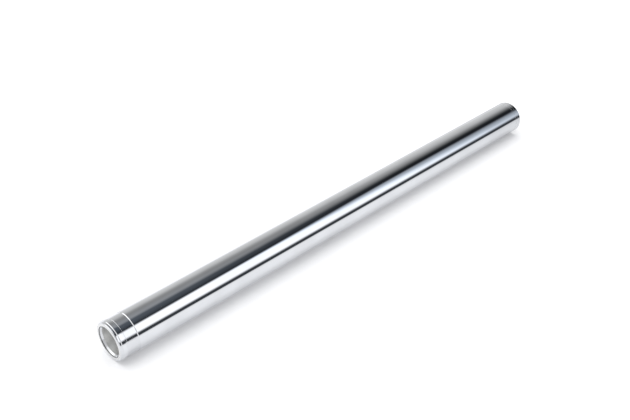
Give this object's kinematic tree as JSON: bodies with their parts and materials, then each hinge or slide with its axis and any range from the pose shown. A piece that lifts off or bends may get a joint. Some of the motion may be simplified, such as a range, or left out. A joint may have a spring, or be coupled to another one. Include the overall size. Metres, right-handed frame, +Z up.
{
  "type": "fork tube",
  "caption": "Chromed inner tube of a telescopic fork, with a bush seat at the lower end and a cap thread inside the top end.",
  "frame": {"origin": "centre of the lower mouth, on the tube's axis, in the plane of the lower end face", "axes": "+X along the tube from the lower end to the top end, +Z up as the tube lies"},
  "size_m": [0.63, 0.041, 0.041],
  "materials": {
    "hard_chrome": "polished hard chrome over ground steel"
  },
  "bodies": {
    "root": {"fork_tube": "hard_chrome"}
  },
  "joints": []
}
